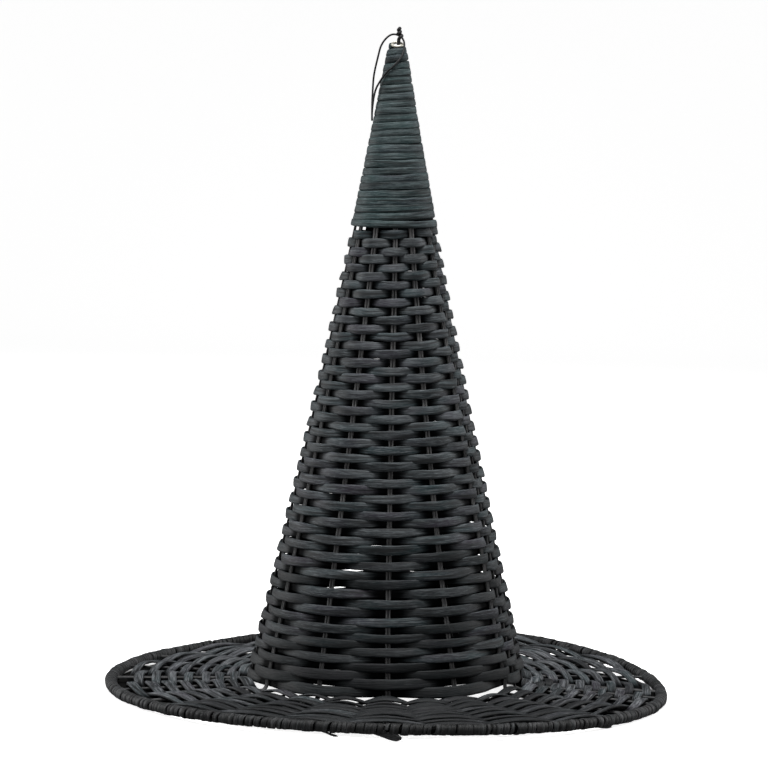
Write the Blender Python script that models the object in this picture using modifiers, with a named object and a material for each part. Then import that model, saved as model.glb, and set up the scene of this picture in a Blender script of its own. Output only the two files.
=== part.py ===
"""Woven rattan witch hat: a tall cone of flat cane on twelve pairs of stakes, with a wound tip,
a woven brim, a wrapped hoop round its edge and a string loop to hang it by.

The hat stands on the floor at z = 0. Angles run from the front (-Y) towards the right (+X), and
lengths are in metres. The crown, its stakes and its tip are laid out upright on Z, and then seated
on the brim with a slight lean to the left.
"""
import math

import bmesh
import bpy
from mathutils import Matrix, Vector

# Overall sizes
BRIM_RADIUS = 0.200
CROWN_FOOT_Z = 0.0148
CROWN_FOOT_RADIUS = 0.0980
CROWN_TOP_Z = 0.3330
CROWN_TAPER = 0.2164
CROWN_SIDE_DIP = 0.00105
CROWN_STATIONS_Z = (CROWN_TOP_Z, 0.2350, 0.1250, CROWN_FOOT_Z)
TOUCH_GAP = 0.0003
CROWN_LEAN_DEG = 0.64
CROWN_SETTLE = 0.0022

# Crown weave: one row of flat cane after another, over one stake and under the next
ROW_PITCH = 0.005664
FIRST_ROW_Z = 0.0176
CROWN_ROWS = 56
WEAVE_INNER_DEPTH = 0.0015
OVER_RISE = 0.0011
UNDER_FALL = 0.0005

# Stakes: pairs of thin canes, with one single cane that makes their number odd
CANE_RADIUS = 0.00085
PAIR_HALF_SPACING = 0.0010
PAIR_COUNT = 12
PAIR_STEP_DEG = 360.0 / PAIR_COUNT
EXTRA_CROWN_DEG = 70.0
EXTRA_BRIM_DEG = 75.0
PAIR_CHORD_ALLOWANCE = 0.00015
STAKE_DEPTH = WEAVE_INNER_DEPTH + TOUCH_GAP + PAIR_CHORD_ALLOWANCE + CANE_RADIUS
FOOT_BEND = (
    (0.0006, 0.0030),
    (0.0018, 0.0006),
    (0.0030, 0.0000),
)
STAKE_TOP_Z = 0.4050
EXTRA_STAKE_TOP_Z = 0.3750
CANE_SIDES_SETTING = 1

# Brim: rows of the same cane on the spokes, between the crown's foot and the hoop
BRIM_ROW_RADII = (
    0.1012, 0.1055, 0.1092, 0.1136, 0.1198, 0.1251, 0.1309, 0.1361,
    0.1437, 0.1481, 0.1536, 0.1589, 0.1662, 0.1709, 0.1781, 0.1844,
)
BRIM_INNER_RADIUS = 0.0988
BRIM_OUTER_RADIUS = 0.1872
SPOKE_START_RADIUS = 0.100
SPOKE_START_Z = 0.0095
SPOKE_DROP = 0.0008
SPOKE_STEP_DEG = PAIR_STEP_DEG / 2.0
INSERTED_SPOKE_SHIFT = {75.0: 82.5}
BRIM_UNDERSIDE = 0.00035
BRIM_TOP_OVER = 0.00275
BRIM_TOP_UNDER = 0.00135
BRIM_TOP_MEAN = 0.0020

# Hoop: on the floor at both sides, raised at the front and the back, as (direction in degrees, lift)
HOOP_HALF_WIDTH = 0.0040
HOOP_LIFTS = (
    (0.0, 0.0046),
    (161.0, 0.0102),
)
HOOP_LIFT_REACH_DEG = 82.0
HOOP_STEPS = 48
HOOP_SIDES = 10

# Wound tip
HEM_Z = 0.3335
HEM_RADIUS = 0.0303
HEM_HEIGHT = 0.0050
HEM_ROUNDING = 0.0009
TIP_TOP_Z = 0.4611
TIP_TURNS = 23
TIP_OUTLINE = (
    (0.3385, 0.0292),
    (0.4071, 0.0160),
    (0.4492, 0.00845),
    (0.4611, 0.0047),
)
TIP_CREST = 0.00015
TIP_NOTCH = 0.00055
TIP_WALL = 0.00235
TIP_HOLLOW_TOP_Z = 0.4300
TIP_STEPS = 20
TIP_STAKE_GAP = 0.0008

# Ring, knot and hanging loop
RING_RADIUS = 0.0037
RING_THICKNESS = 0.0015
RING_STEPS = 20
RING_SIDES = 6
KNOT_X = 0.0008
KNOT_STEPS = 12
KNOT_PROFILE = (
    (0.0000, 0.4745),
    (0.0013, 0.4741),
    (0.0019, 0.4728),
    (0.0015, 0.4714),
    (0.0020, 0.4704),
    (0.0022, 0.4693),
    (0.0018, 0.4679),
    (0.0012, 0.4670),
    (0.0012, 0.4617),
    (0.0000, 0.4614),
)
STRING_RADIUS = 0.0007
STRING_POINTS = 44
ROUTE_SUBSTEPS = 12
STRING_ROUTE = (
    (-0.00175, 0.0000, 0.4689),
    (-0.0039, 0.0000, 0.4684),
    (-0.0066, 0.0000, 0.4668),
    (-0.0092, 0.0000, 0.4639),
    (-0.0112, 0.0001, 0.4600),
    (-0.0126, 0.0003, 0.4556),
    (-0.0144, 0.0008, 0.4477),
    (-0.0155, 0.0012, 0.4424),
    (-0.0162, 0.0016, 0.4372),
    (-0.0166, 0.0021, 0.4300),
    (-0.0169, 0.0026, 0.4210),
    (-0.0169, 0.0029, 0.4135),
    (-0.0168, 0.0022, 0.4095),
    (-0.0168, 0.0000, 0.4082),
    (-0.0168, -0.0022, 0.4095),
    (-0.0168, -0.0030, 0.4135),
    (-0.0164, -0.0031, 0.4190),
    (-0.0156, -0.0034, 0.4250),
    (-0.0142, -0.0041, 0.4304),
    (-0.0119, -0.0052, 0.4348),
    (-0.0091, -0.0070, 0.4391),
    (-0.0059, -0.0090, 0.4430),
    (-0.0034, -0.0099, 0.4451),
    (-0.0006, -0.0100, 0.4479),
    (0.0026, -0.0085, 0.4520),
    (0.0044, -0.0062, 0.4563),
    (0.0051, -0.0042, 0.4597),
    (0.0049, -0.0030, 0.4630),
    (0.0038, -0.0019, 0.4655),
    (0.0023, -0.0009, 0.4674),
)

CANE_COLOUR = (0.030, 0.035, 0.038, 1.0)
WEAVE_COLOUR = (0.022, 0.028, 0.031, 1.0)
TIP_COLOUR = (0.024, 0.040, 0.044, 1.0)
STRING_COLOUR = (0.012, 0.012, 0.014, 1.0)
RING_COLOUR = (0.62, 0.60, 0.55, 1.0)


def signed_degrees(angle):
    """Returns the same direction between -180 (left out) and 180 degrees."""
    wrapped = (angle + 180.0) % 360.0 - 180.0
    return 180.0 if wrapped == -180.0 else wrapped


def polar(radius, angle_deg, z):
    """A point at a radius, an angle from the front towards the right, and a height."""
    angle = math.radians(angle_deg)
    return Vector((radius * math.sin(angle), -radius * math.cos(angle), z))


def crown_seat():
    """The lean to the left and the drop of all that stands on the brim, about the crown's foot."""
    foot = Matrix.Translation((0.0, 0.0, SPOKE_START_Z))
    lean = Matrix.Rotation(math.radians(-CROWN_LEAN_DEG), 4, "Y")
    return Matrix.Translation((0.0, 0.0, -CROWN_SETTLE)) @ foot @ lean @ foot.inverted()


def crown_radius(z):
    """Mean outer radius of the crown: a straight taper, dipped a little at mid height."""
    share = (z - CROWN_FOOT_Z) / (CROWN_TOP_Z - CROWN_FOOT_Z)
    dip = 4.0 * CROWN_SIDE_DIP * share * (1.0 - share)
    return CROWN_FOOT_RADIUS - CROWN_TAPER * (z - CROWN_FOOT_Z) - dip


def tip_radius(z):
    """Mean outer radius of the wound tip, between the stations of its outline."""
    for (low_z, low_r), (high_z, high_r) in zip(TIP_OUTLINE, TIP_OUTLINE[1:]):
        if z <= high_z:
            break
    share = (z - low_z) / (high_z - low_z)
    return low_r + (high_r - low_r) * share


def hoop_z(angle_deg):
    """Height of the hoop's centreline: down at the sides, with a rounded lift at front and back."""
    height = HOOP_HALF_WIDTH * math.cos(math.pi / HOOP_SIDES)
    for direction, lift in HOOP_LIFTS:
        share = abs(signed_degrees(angle_deg - direction)) / HOOP_LIFT_REACH_DEG
        height += lift * math.cos(0.5 * math.pi * min(share, 1.0)) ** 2
    return height


def spoke_z(radius, angle_deg):
    """Height of the middle of the brim, straight from the crown's foot to the hoop."""
    tilt = math.sin(math.radians(CROWN_LEAN_DEG)) * math.sin(math.radians(angle_deg))
    start_z = SPOKE_START_Z - CROWN_SETTLE + SPOKE_START_RADIUS * tilt
    reach = BRIM_RADIUS - HOOP_HALF_WIDTH - SPOKE_START_RADIUS
    share = (radius - SPOKE_START_RADIUS) / reach
    return start_z + (hoop_z(angle_deg) - start_z) * share


def make_material(name, colour, roughness, metallic=0.0):
    """A plain surface of one colour."""
    material = bpy.data.materials.new(name)
    material.use_nodes = True
    shader = material.node_tree.nodes["Principled BSDF"]
    shader.inputs["Base Color"].default_value = colour
    shader.inputs["Roughness"].default_value = roughness
    shader.inputs["Metallic"].default_value = metallic
    return material


def add_object(name, data, collection, material):
    """Links new data to the collection as an object with its own material."""
    data.materials.append(material)
    obj = bpy.data.objects.new(name, data)
    collection.objects.link(obj)
    return obj


def smooth(mesh):
    """Shades a round piece smooth, with edges of more than 50 degrees kept sharp."""
    mesh.shade_smooth()
    mesh.set_sharp_from_angle(angle=math.radians(50.0))


def loft_closed(name, sections):
    """A hollow body through rings of equal count, the last ring joined to the first."""
    bm = bmesh.new()
    rings = [[bm.verts.new(point) for point in section] for section in sections]
    for ring, following in zip(rings, rings[1:] + rings[:1]):
        for side in range(len(ring)):
            after = (side + 1) % len(ring)
            bm.faces.new((ring[side], ring[after], following[after], following[side]))
    bmesh.ops.recalc_face_normals(bm, faces=bm.faces)
    mesh = bpy.data.meshes.new(name)
    bm.to_mesh(mesh)
    bm.free()
    smooth(mesh)
    return mesh


def make_cane(name, points, collection, material):
    """A thin round cane along its points, with closed ends."""
    curve = bpy.data.curves.new(name, "CURVE")
    curve.dimensions = "3D"
    curve.bevel_depth = CANE_RADIUS
    curve.bevel_resolution = CANE_SIDES_SETTING
    curve.use_fill_caps = True
    spline = curve.splines.new("POLY")
    spline.points.add(len(points) - 1)
    for control, point in zip(spline.points, points):
        control.co = (*point, 1.0)
    return add_object(name, curve, collection, material)


def make_torus(name, radius, half_thickness, steps, sides, z, collection, material):
    """A ring round Z at a height, as a torus primitive moved to the collection."""
    bpy.ops.mesh.primitive_torus_add(
        major_segments=steps,
        minor_segments=sides,
        major_radius=radius,
        minor_radius=half_thickness,
        location=(0.0, 0.0, z),
    )
    mesh = bpy.context.object.data
    bpy.data.objects.remove(bpy.context.object)
    mesh.name = name
    smooth(mesh)
    obj = add_object(name, mesh, collection, material)
    obj.location = (0.0, 0.0, z)
    return obj


def turned(name, profile, steps, collection, material):
    """A profile of (radius, height) points, from axis to axis, turned round Z by a Screw modifier."""
    mesh = bpy.data.meshes.new(name)
    edges = [(i, i + 1) for i in range(len(profile) - 1)]
    mesh.from_pydata([(radius, 0.0, z) for radius, z in profile], edges, [])
    obj = add_object(name, mesh, collection, material)
    screw = obj.modifiers.new("turn", "SCREW")
    screw.axis = "Z"
    screw.angle = math.tau
    screw.steps = steps
    screw.render_steps = steps
    screw.use_merge_vertices = True
    screw.merge_threshold = 0.00001
    screw.use_smooth_shade = True
    return obj


def crown_stake_angles():
    """Directions of the crown's stakes, from the back left round to the back."""
    pairs = [signed_degrees(i * PAIR_STEP_DEG) for i in range(PAIR_COUNT)]
    return sorted(pairs + [EXTRA_CROWN_DEG])


def brim_spoke_angles():
    """Directions of the brim's spokes, from the back left round to the back."""
    spokes = [signed_degrees(i * SPOKE_STEP_DEG) for i in range(2 * PAIR_COUNT)]
    return sorted(spokes + list(INSERTED_SPOKE_SHIFT.values()))


def weave_columns(angles):
    """Directions of the points of a woven row, as (angle, stake number or None between two)."""
    front = angles.index(0.0)
    columns = []
    for index, angle in enumerate(angles):
        following = angles[(index + 1) % len(angles)]
        if following < angle:
            following += 360.0
        columns.append((angle, index - front))
        columns.append(((angle + following) / 2.0, None))
    return columns


def crown_row(z, row, columns):
    """One row of the crown: out over every second stake and in behind the ones between."""
    points = []
    for angle, stake in columns:
        offset = 0.5 * (OVER_RISE - UNDER_FALL)
        if stake is not None:
            offset = OVER_RISE if (row + stake) % 2 else -UNDER_FALL
        points.append(crown_seat() @ polar(crown_radius(z) + offset, angle, z))
    return points


def crown_plain_ring(z, depth, columns):
    """A plain ring of the crown's wall, at a depth below its mean outer face."""
    return [crown_seat() @ polar(crown_radius(z) - depth, angle, z) for angle, _ in columns]


def make_crown_weave(collection, material):
    """The woven cone wall: its rows outside, a plain face inside."""
    columns = weave_columns(crown_stake_angles())
    sections = [crown_plain_ring(CROWN_FOOT_Z, 0.0, columns)]
    for row in range(CROWN_ROWS):
        sections.append(crown_row(FIRST_ROW_Z + row * ROW_PITCH, row, columns))
    sections.append(crown_plain_ring(CROWN_TOP_Z, 0.0, columns))
    for z in CROWN_STATIONS_Z:
        sections.append(crown_plain_ring(z, WEAVE_INNER_DEPTH, columns))
    mesh = loft_closed("crown_weave", sections)
    return add_object("crown_weave", mesh, collection, material)


def brim_row(radius, row, columns):
    """One row of the brim: up over every second spoke and down under the ones between."""
    points = []
    for angle, spoke in columns:
        rise = BRIM_TOP_MEAN
        if spoke is not None:
            rise = BRIM_TOP_UNDER if (row + spoke) % 2 else BRIM_TOP_OVER
        points.append(polar(radius, angle, spoke_z(radius, angle) + rise))
    return points


def brim_plain_ring(radius, rise, columns):
    """A plain ring of the brim's edge or underside."""
    return [polar(radius, angle, spoke_z(radius, angle) + rise) for angle, _ in columns]


def make_brim_weave(collection, material):
    """The woven ring that lies on the spokes."""
    columns = weave_columns(brim_spoke_angles())
    sections = [brim_plain_ring(BRIM_INNER_RADIUS, BRIM_TOP_UNDER, columns)]
    for row, radius in enumerate(BRIM_ROW_RADII):
        sections.append(brim_row(radius, row, columns))
    sections.append(brim_plain_ring(BRIM_OUTER_RADIUS, BRIM_TOP_UNDER, columns))
    sections.append(brim_plain_ring(BRIM_OUTER_RADIUS, BRIM_UNDERSIDE, columns))
    sections.append(brim_plain_ring(BRIM_INNER_RADIUS, BRIM_UNDERSIDE, columns))
    mesh = loft_closed("brim_weave", sections)
    return add_object("brim_weave", mesh, collection, material)


def beside(point, angle_deg, offset):
    """Moves a point sideways, across the direction in which its stake stands."""
    angle = math.radians(angle_deg)
    return point + offset * Vector((math.cos(angle), math.sin(angle), 0.0))


def stake_points(crown_deg, brim_deg, offset, top_z):
    """The run of one stake: inside the tip, down the crown, round its foot and out to the hoop."""
    points = []
    for z in (top_z, HEM_Z + HEM_HEIGHT):
        points.append(polar(tip_radius(z) - TIP_WALL - TIP_STAKE_GAP - CANE_RADIUS, crown_deg, z))
    for z in CROWN_STATIONS_Z:
        points.append(polar(crown_radius(z) - STAKE_DEPTH, crown_deg, z))
    foot = crown_radius(CROWN_FOOT_Z) - STAKE_DEPTH
    flat_z = SPOKE_START_Z - SPOKE_DROP
    for outwards, upwards in FOOT_BEND:
        points.append(polar(foot + outwards, crown_deg, flat_z + upwards))
    points = [crown_seat() @ point for point in points]
    hoop_side = BRIM_RADIUS - 2.0 * HOOP_HALF_WIDTH - TOUCH_GAP
    first = BRIM_ROW_RADII[1]
    for radius in (first, hoop_side):
        points.append(polar(radius, brim_deg, spoke_z(radius, brim_deg) - SPOKE_DROP))
    return [beside(point, crown_deg, offset) for point in points]


def make_stakes(collection, material):
    """The twelve pairs of stakes and the single extra one."""
    for index in range(PAIR_COUNT):
        angle = signed_degrees(index * PAIR_STEP_DEG)
        for side, offset in (("left", -PAIR_HALF_SPACING), ("right", PAIR_HALF_SPACING)):
            name = f"stake_{index + 1:02d}_{side}"
            points = stake_points(angle, angle, offset, STAKE_TOP_Z)
            make_cane(name, points, collection, material)
    points = stake_points(EXTRA_CROWN_DEG, EXTRA_BRIM_DEG, 0.0, EXTRA_STAKE_TOP_Z)
    make_cane("stake_extra", points, collection, material)


def make_inserted_spokes(collection, material):
    """The single spokes of the brim, each between two pairs of stakes."""
    start = BRIM_INNER_RADIUS + 2.0 * CANE_RADIUS
    hoop_side = BRIM_RADIUS - 2.0 * HOOP_HALF_WIDTH - TOUCH_GAP
    for index in range(PAIR_COUNT):
        angle = signed_degrees(index * PAIR_STEP_DEG + SPOKE_STEP_DEG)
        angle = INSERTED_SPOKE_SHIFT.get(angle, angle)
        points = [
            polar(radius, angle, spoke_z(radius, angle) - SPOKE_DROP)
            for radius in (start, hoop_side)
        ]
        make_cane(f"brim_spoke_{index + 1:02d}", points, collection, material)


def make_rim(collection, material):
    """The wrapped hoop: a ring bent so that it stands on its two sides."""
    radius = BRIM_RADIUS - HOOP_HALF_WIDTH
    obj = make_torus("rim", radius, HOOP_HALF_WIDTH, HOOP_STEPS, HOOP_SIDES, 0.0, collection, material)
    for vertex in obj.data.vertices:
        angle = math.degrees(math.atan2(vertex.co.x, -vertex.co.y))
        vertex.co.z += hoop_z(angle)
    return obj


def make_tip_wrap(collection, material):
    """The wound tip: turns of cane from the top to a thicker hem, hollow below."""
    hem_top = HEM_Z + HEM_HEIGHT
    pitch = (TIP_TOP_Z - hem_top) / TIP_TURNS
    top_radius = tip_radius(TIP_TOP_Z)
    profile = [(0.0, TIP_TOP_Z), (top_radius - 2.0 * TIP_NOTCH, TIP_TOP_Z)]
    for turn in range(TIP_TURNS):
        crest_z = TIP_TOP_Z - (turn + 0.5) * pitch
        notch_z = TIP_TOP_Z - (turn + 1.0) * pitch
        profile.append((tip_radius(crest_z) + TIP_CREST, crest_z))
        profile.append((tip_radius(notch_z) - TIP_NOTCH, notch_z))
    profile.append((HEM_RADIUS, hem_top - HEM_ROUNDING))
    profile.append((HEM_RADIUS, HEM_Z + HEM_ROUNDING))
    profile.append((HEM_RADIUS - HEM_ROUNDING, HEM_Z))
    profile.append((HEM_RADIUS - TIP_WALL, HEM_Z))
    for z in (hem_top, TIP_OUTLINE[1][0], TIP_HOLLOW_TOP_Z):
        profile.append((tip_radius(z) - TIP_WALL, z))
    profile.append((0.0, TIP_HOLLOW_TOP_Z + TIP_WALL))
    obj = turned("tip_wrap", profile, TIP_STEPS, collection, material)
    obj.matrix_world = crown_seat()
    return obj


def make_tip_ring(collection, material):
    """The small pale ring that lies on top of the wound tip."""
    half = RING_THICKNESS / 2.0
    z = TIP_TOP_Z + TOUCH_GAP + half
    obj = make_torus("tip_ring", RING_RADIUS, half, RING_STEPS, RING_SIDES, z, collection, material)
    obj.matrix_world = crown_seat() @ Matrix.Translation((0.0, 0.0, z))
    return obj


def make_loop_knot(collection, material):
    """The string's knot above the ring, with its stem through the ring."""
    obj = turned("loop_knot", KNOT_PROFILE, KNOT_STEPS, collection, material)
    obj.matrix_world = crown_seat() @ Matrix.Translation((KNOT_X, 0.0, 0.0))
    return obj


def smooth_route(points, count):
    """Evenly spaced points on a smooth curve through the given ones."""
    route = [Vector(point) for point in points]
    dense = []
    padded = [2.0 * route[0] - route[1]] + route + [2.0 * route[-1] - route[-2]]
    for p0, p1, p2, p3 in zip(padded, padded[1:], padded[2:], padded[3:]):
        for step in range(ROUTE_SUBSTEPS):
            t = step / ROUTE_SUBSTEPS
            dense.append(0.5 * (
                2.0 * p1
                + (p2 - p0) * t
                + (2.0 * p0 - 5.0 * p1 + 4.0 * p2 - p3) * t * t
                + (3.0 * p1 - p0 - 3.0 * p2 + p3) * t * t * t
            ))
    dense.append(route[-1])
    travelled = [0.0]
    for before, after in zip(dense, dense[1:]):
        travelled.append(travelled[-1] + (after - before).length)
    even = []
    place = 0
    for index in range(count):
        target = travelled[-1] * index / (count - 1)
        while place < len(travelled) - 2 and travelled[place + 1] < target:
            place += 1
        span = travelled[place + 1] - travelled[place]
        share = (target - travelled[place]) / span
        even.append(dense[place].lerp(dense[place + 1], share))
    return even


def make_hanging_loop(collection, material):
    """The string loop, from the knot round beside the tip and back over its front."""
    points = [crown_seat() @ point for point in smooth_route(STRING_ROUTE, STRING_POINTS)]
    obj = make_cane("hanging_loop", points, collection, material)
    obj.data.bevel_depth = STRING_RADIUS
    obj.data.bevel_resolution = 2
    return obj


def main():
    """Clears the scene and makes every piece of the hat."""
    for obj in list(bpy.data.objects):
        bpy.data.objects.remove(obj)
    collection = bpy.data.collections.new("rattan_witch_hat")
    bpy.context.scene.collection.children.link(collection)
    make_crown_weave(collection, make_material("crown_cane", WEAVE_COLOUR, 0.6))
    make_brim_weave(collection, make_material("brim_cane", WEAVE_COLOUR, 0.6))
    make_stakes(collection, make_material("stake_cane", CANE_COLOUR, 0.6))
    make_inserted_spokes(collection, make_material("spoke_cane", CANE_COLOUR, 0.6))
    make_rim(collection, make_material("rim_cane", CANE_COLOUR, 0.6))
    make_tip_wrap(collection, make_material("tip_cane", TIP_COLOUR, 0.55))
    make_tip_ring(collection, make_material("ring_metal", RING_COLOUR, 0.4, 1.0))
    string = make_material("string", STRING_COLOUR, 0.8)
    make_loop_knot(collection, string)
    make_hanging_loop(collection, string)


main()
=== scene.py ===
"""Looks of a woven rattan witch hat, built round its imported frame.

The hat is basket work: flat-oval cane woven over and under pairs of thin round stakes, a wound
tip, a woven brim and a hoop wrapped in narrow cane. Every strand is a section carried along a
path. Angles run from the front (-Y) towards the right (+X), and lengths are in metres.
"""
import logging
import math
from collections.abc import Callable
from dataclasses import dataclass
from enum import Enum

import bpy
import numpy as np
from mathutils import Matrix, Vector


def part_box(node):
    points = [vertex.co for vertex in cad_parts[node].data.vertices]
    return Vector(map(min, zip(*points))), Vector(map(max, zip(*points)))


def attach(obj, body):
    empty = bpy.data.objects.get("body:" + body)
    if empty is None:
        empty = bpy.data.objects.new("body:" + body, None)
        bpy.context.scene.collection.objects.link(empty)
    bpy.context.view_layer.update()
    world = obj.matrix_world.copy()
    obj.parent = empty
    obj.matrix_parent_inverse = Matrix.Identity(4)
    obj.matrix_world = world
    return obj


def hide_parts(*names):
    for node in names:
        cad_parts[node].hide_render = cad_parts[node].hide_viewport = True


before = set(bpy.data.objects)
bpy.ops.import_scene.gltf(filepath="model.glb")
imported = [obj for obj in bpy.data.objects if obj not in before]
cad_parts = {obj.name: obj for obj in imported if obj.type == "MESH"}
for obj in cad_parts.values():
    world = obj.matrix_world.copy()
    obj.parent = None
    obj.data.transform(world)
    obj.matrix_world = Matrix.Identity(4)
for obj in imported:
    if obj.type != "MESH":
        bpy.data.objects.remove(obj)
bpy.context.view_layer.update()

MM = 0.001
UP = (0.0, 0.0, 1.0)
BODY = "root"
LOG = logging.getLogger("witch_hat")
Array = np.ndarray
Material = bpy.types.Material
Node = bpy.types.Node
Socket = bpy.types.NodeSocket
Point = tuple[float, float, float]
Colour = tuple[float, float, float]
Waves = tuple[tuple[float, float, int], ...]


class Slot(Enum):
    """Material slots of the record."""

    WOVEN = "woven_cane"
    STAKE = "stake_cane"
    RIM = "rim_cane"
    TIP = "tip_cane"
    RING = "ring_metal"
    STRING = "string"


def unit(vectors: Array) -> Array:
    """Vectors divided by their own lengths."""
    return vectors / np.linalg.norm(vectors, axis=-1, keepdims=True)


def polar(radius: Array, angle: Array, z: Array) -> Array:
    """Points at a radius, an angle and a height: (r sin a, -r cos a, z).

    Args:
        radius: Distances from the hat's axis.
        angle: Angles from the front towards the right, in radians.
        z: Heights above the floor.

    Returns:
        One point a row.
    """
    radius, angle, z = np.broadcast_arrays(radius, angle, z)
    return np.stack([radius * np.sin(angle), -radius * np.cos(angle), z], axis=-1)


def sideways(angle: Array) -> Array:
    """Unit vectors round the hat, towards growing angles: (cos a, sin a, 0)."""
    return np.stack([np.cos(angle), np.sin(angle), np.zeros_like(angle)], axis=-1)


def smoothstep(share: Array) -> Array:
    """The curve 3t^2 - 2t^3 between 0 and 1, with t held inside them."""
    held = np.clip(share, 0.0, 1.0)
    return held * held * (3.0 - 2.0 * held)


def wander(places: Array, period: float, seed: int) -> Array:
    """A smooth random value from -1 to 1 at each place.

    Random values stand at whole multiples of the period, and the value between two of them
    is their smoothstep blend.

    Args:
        places: Where to read the value.
        period: Distance between two random values.
        seed: Seed of the random values.

    Returns:
        One value a place.
    """
    scaled = np.asarray(places, float) / period
    low = np.floor(scaled).astype(int)
    base = int(low.min())
    values = np.random.default_rng(seed).uniform(-1.0, 1.0, int(low.max()) - base + 2)
    before = values[low - base]
    after = values[low - base + 1]
    return before + (after - before) * smoothstep(scaled - low)


def ripple(places: Array, waves: Waves) -> Array:
    """The sum of several wanders, each given by its height, its period and its seed."""
    return sum(height * wander(places, period, seed) for height, period, seed in waves)


def travelled(line: Array) -> Array:
    """Length travelled along a line at each of its points."""
    return np.concatenate([[0.0], np.cumsum(np.linalg.norm(np.diff(line, axis=0), axis=1))])


def tilted(angle: Array, tilt: Array) -> tuple[Array, Array]:
    """Directions of a section that leans back by a tilt: outward, and up along the cone."""
    return polar(np.cos(tilt), angle, np.sin(tilt)), polar(-np.sin(tilt), angle, np.cos(tilt))


def grid_quads(rows: int, sides: int, closed: bool) -> Array:
    """Faces between neighbouring rows of points, each row a ring.

    Args:
        rows: Number of rings.
        sides: Points of a ring.
        closed: Whether the last ring joins the first.

    Returns:
        Four point numbers a face: (i, j), (i, j + 1), (i + 1, j + 1), (i + 1, j).
    """
    i = np.arange(rows if closed else rows - 1)[:, None]
    j = np.arange(sides)[None, :]
    after = (j + 1) % sides
    above = (i + 1) % rows
    corners = [i * sides + j, i * sides + after, above * sides + after, above * sides + j]
    return np.stack(corners, axis=-1).reshape(-1, 4)


@dataclass(frozen=True)
class HatForm:
    """The hat's main surfaces.

    The crown, its stakes and its tip are laid out upright, and `seated` then leans them a little
    to the left on the brim. The brim and the hoop are laid out where they lie.
    """

    brim_radius: float
    hoop_half: float
    crown_foot_z: float = 14.8 * MM
    crown_top_z: float = 333.0 * MM
    hem_z: float = 333.5 * MM
    tip_top_z: float = 461.1 * MM
    crown_foot_radius: float = 98.0 * MM
    crown_taper: float = 0.2164
    crown_dip: float = 1.05 * MM
    crown_lean_deg: float = 0.64
    crown_settle: float = 2.2 * MM
    stake_depth: float = 1.85 * MM
    spoke_start: float = 100.0 * MM
    spoke_start_z: float = 9.5 * MM
    hoop_lifts: tuple[tuple[float, float], ...] = ((0.0, 4.6 * MM), (161.0, 10.2 * MM))
    hoop_lift_reach_deg: float = 82.0
    hoop_stand: float = 0.951

    def seated(self, points: Array) -> Array:
        """Turns points about the middle of the crown's foot by its lean, and lets them down.

        Args:
            points: Points of the upright crown, one a row.

        Returns:
            The points where they stand on the brim.
        """
        lean = math.radians(self.crown_lean_deg)
        above = points[:, 2] - self.spoke_start_z
        x = points[:, 0] * math.cos(lean) - above * math.sin(lean)
        z = points[:, 0] * math.sin(lean) + above * math.cos(lean)
        z = z + self.spoke_start_z - self.crown_settle
        return np.stack([x, points[:, 1], z], axis=1)

    def crown_radius(self, z: Array) -> Array:
        """Outer radius of the crown: a straight taper less a parabola at mid height."""
        share = (z - self.crown_foot_z) / (self.crown_top_z - self.crown_foot_z)
        dip = 4.0 * self.crown_dip * share * (1.0 - share)
        return self.crown_foot_radius - self.crown_taper * (z - self.crown_foot_z) - dip

    def stake_radius(self, z: Array) -> Array:
        """Radius of the stakes' middle line inside the weave."""
        return self.crown_radius(z) - self.stake_depth

    def tip_radius(self, z: Array) -> Array:
        """Outer radius of the wound tip, straight between the stations of its outline."""
        heights = np.array([338.5, 407.1, 449.2, 461.1]) * MM
        radii = np.array([29.2, 16.0, 8.45, 4.7]) * MM
        return np.interp(z, heights, radii)

    def hoop_z(self, angle: Array) -> Array:
        """Height of the hoop's middle: most of its half thickness and two lifts.

        A lift of height h about a direction a0 adds h cos^2(90 deg |a - a0| / reach).
        """
        degrees = np.degrees(angle)
        height = np.full_like(degrees, self.hoop_stand * self.hoop_half)
        for direction, lift in self.hoop_lifts:
            away = np.abs((degrees - direction + 180.0) % 360.0 - 180.0)
            share = np.minimum(away / self.hoop_lift_reach_deg, 1.0)
            height = height + lift * np.cos(0.5 * np.pi * share) ** 2
        return height

    def brim_z(self, radius: Array, angle: Array) -> Array:
        """Height of the brim's middle: straight from the leaning crown's foot to the hoop."""
        tilt = math.sin(math.radians(self.crown_lean_deg)) * np.sin(angle)
        start = self.spoke_start_z - self.crown_settle + self.spoke_start * tilt
        reach = self.brim_radius - self.hoop_half - self.spoke_start
        share = (radius - self.spoke_start) / reach
        return start + (self.hoop_z(angle) - start) * share


def form_from_frame() -> HatForm:
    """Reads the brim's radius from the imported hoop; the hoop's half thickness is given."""
    rim_low, rim_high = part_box("rim")
    return HatForm(brim_radius=0.5 * (rim_high.x - rim_low.x), hoop_half=4.0 * MM)


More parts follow.
